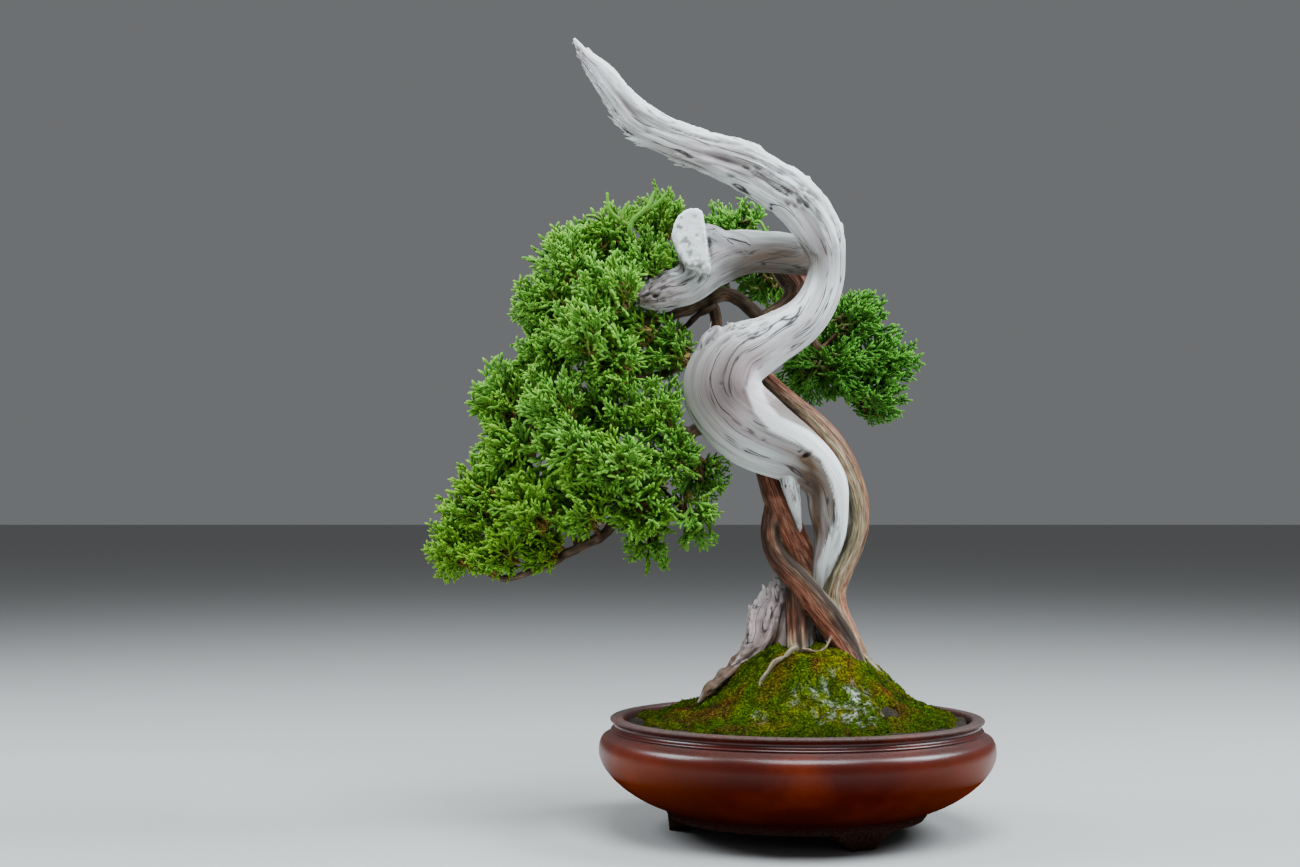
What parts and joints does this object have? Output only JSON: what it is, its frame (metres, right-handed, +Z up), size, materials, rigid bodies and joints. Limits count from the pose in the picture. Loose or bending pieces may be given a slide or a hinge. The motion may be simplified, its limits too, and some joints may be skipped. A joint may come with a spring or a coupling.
{
  "type": "itoigawa juniper bonsai",
  "caption": "Potted juniper bonsai: twisting bleached deadwood trunk with a live bark strip and bright green foliage tufts at one side, on a mossy mound in a round footed clay pot.",
  "frame": {"origin": "middle of the part's outline seen from above, at the level of the feet's soles", "axes": "+Z up along the height, +X to the right and +Y away from a viewer who sees the tree from the picture's side"},
  "size_m": [0.2616, 0.18, 0.3585],
  "materials": {
    "clay": "satin",
    "mesh_plastic": "matte",
    "bare_aluminium": "satin",
    "mossy_soil": "matte",
    "silver_wood": "matte",
    "bark": "matte",
    "scale_leaf": "matte"
  },
  "bodies": {
    "root": {"pot": "clay", "drain_screen": "mesh_plastic", "screen_wire": "bare_aluminium", "soil": "mossy_soil", "deadwood": "silver_wood", "live_wood": "bark", "foliage_lower_01": "scale_leaf", "foliage_lower_02": "scale_leaf", "foliage_lower_03": "scale_leaf", "foliage_lower_04": "scale_leaf", "foliage_lower_05": "scale_leaf", "foliage_lower_06": "scale_leaf", "foliage_lower_07": "scale_leaf", "foliage_lower_08": "scale_leaf", "foliage_lower_09": "scale_leaf", "foliage_lower_10": "scale_leaf", "foliage_lower_11": "scale_leaf", "foliage_lower_12": "scale_leaf", "foliage_lower_13": "scale_leaf", "foliage_lower_14": "scale_leaf", "foliage_lower_15": "scale_leaf", "foliage_middle_01": "scale_leaf", "foliage_middle_02": "scale_leaf", "foliage_middle_03": "scale_leaf", "foliage_middle_04": "scale_leaf", "foliage_middle_05": "scale_leaf", "foliage_middle_06": "scale_leaf", "foliage_middle_07": "scale_leaf", "foliage_middle_08": "scale_leaf", "foliage_upper_01": "scale_leaf", "foliage_upper_02": "scale_leaf", "foliage_upper_03": "scale_leaf", "foliage_upper_04": "scale_leaf", "foliage_upper_05": "scale_leaf", "foliage_upper_06": "scale_leaf", "foliage_inner_01": "scale_leaf", "foliage_inner_02": "scale_leaf", "foliage_inner_03": "scale_leaf", "foliage_inner_04": "scale_leaf", "foliage_crown_01": "scale_leaf", "foliage_crown_02": "scale_leaf", "foliage_crown_03": "scale_leaf", "foliage_crown_04": "scale_leaf", "foliage_crown_05": "scale_leaf", "foliage_back_01": "scale_leaf", "foliage_back_02": "scale_leaf", "foliage_back_03": "scale_leaf", "foliage_right_01": "scale_leaf", "foliage_right_02": "scale_leaf", "foliage_right_03": "scale_leaf", "foliage_right_04": "scale_leaf", "foliage_right_05": "scale_leaf", "foliage_right_06": "scale_leaf"}
  },
  "joints": []
}
